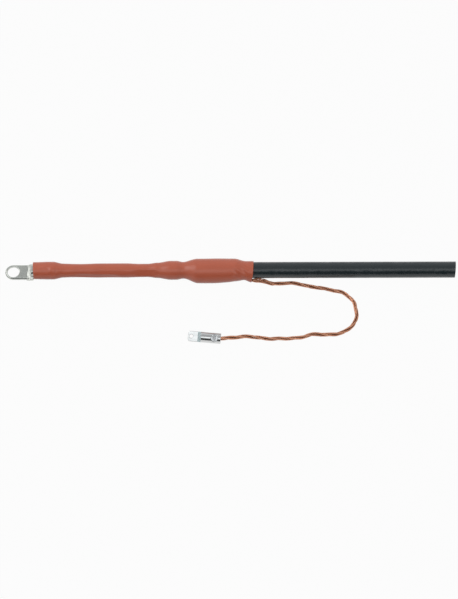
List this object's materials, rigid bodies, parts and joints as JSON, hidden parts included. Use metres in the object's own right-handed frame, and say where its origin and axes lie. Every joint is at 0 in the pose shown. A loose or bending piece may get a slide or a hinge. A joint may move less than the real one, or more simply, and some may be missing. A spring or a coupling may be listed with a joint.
{
  "type": "cable termination",
  "caption": "Single-core cable termination: pressed lug, shrunk anti-tracking tube with a sealing bulge, sheathed cable stub, and a copper earth lead ending in a screw lug.",
  "frame": {"origin": "centre of the terminal lug's bolt hole, on the palm's contact face", "axes": "+X along the cable, from the lug to the sawn end; +Z along the bolt hole, out of the palm's upper face"},
  "size_m": [0.6399, 0.1261, 0.0343],
  "materials": {
    "lug_metal": "satin",
    "sealing_mastic": "matte",
    "conductor_metal": "satin",
    "semicon": "matte",
    "insulation": "satin",
    "bedding": "matte",
    "copper": "satin",
    "separator": "matte",
    "sheath": "satin",
    "stress_mastic": "matte",
    "stress_tube": "matte",
    "tinned_wire": "satin",
    "red_tube": "satin",
    "earth_lug_metal": "satin",
    "bolt_metal": "satin"
  },
  "bodies": {
    "root": {"terminal_lug": "lug_metal", "lug_mastic": "sealing_mastic", "conductor_strands": "conductor_metal", "conductor_screen": "semicon", "xlpe_insulation": "insulation", "insulation_screen": "semicon", "bedding_tape": "bedding", "screen_wires": "copper", "counter_helix": "copper", "separator_tape": "separator", "outer_sheath": "sheath", "stress_mastic": "stress_mastic", "stress_control_tube": "stress_tube", "inner_seal": "sealing_mastic", "binding_wire": "tinned_wire", "outer_seal": "sealing_mastic", "anti_tracking_tube": "red_tube", "earth_lead": "copper", "earth_lug": "earth_lug_metal", "earth_lug_bolt": "bolt_metal"}
  },
  "joints": []
}
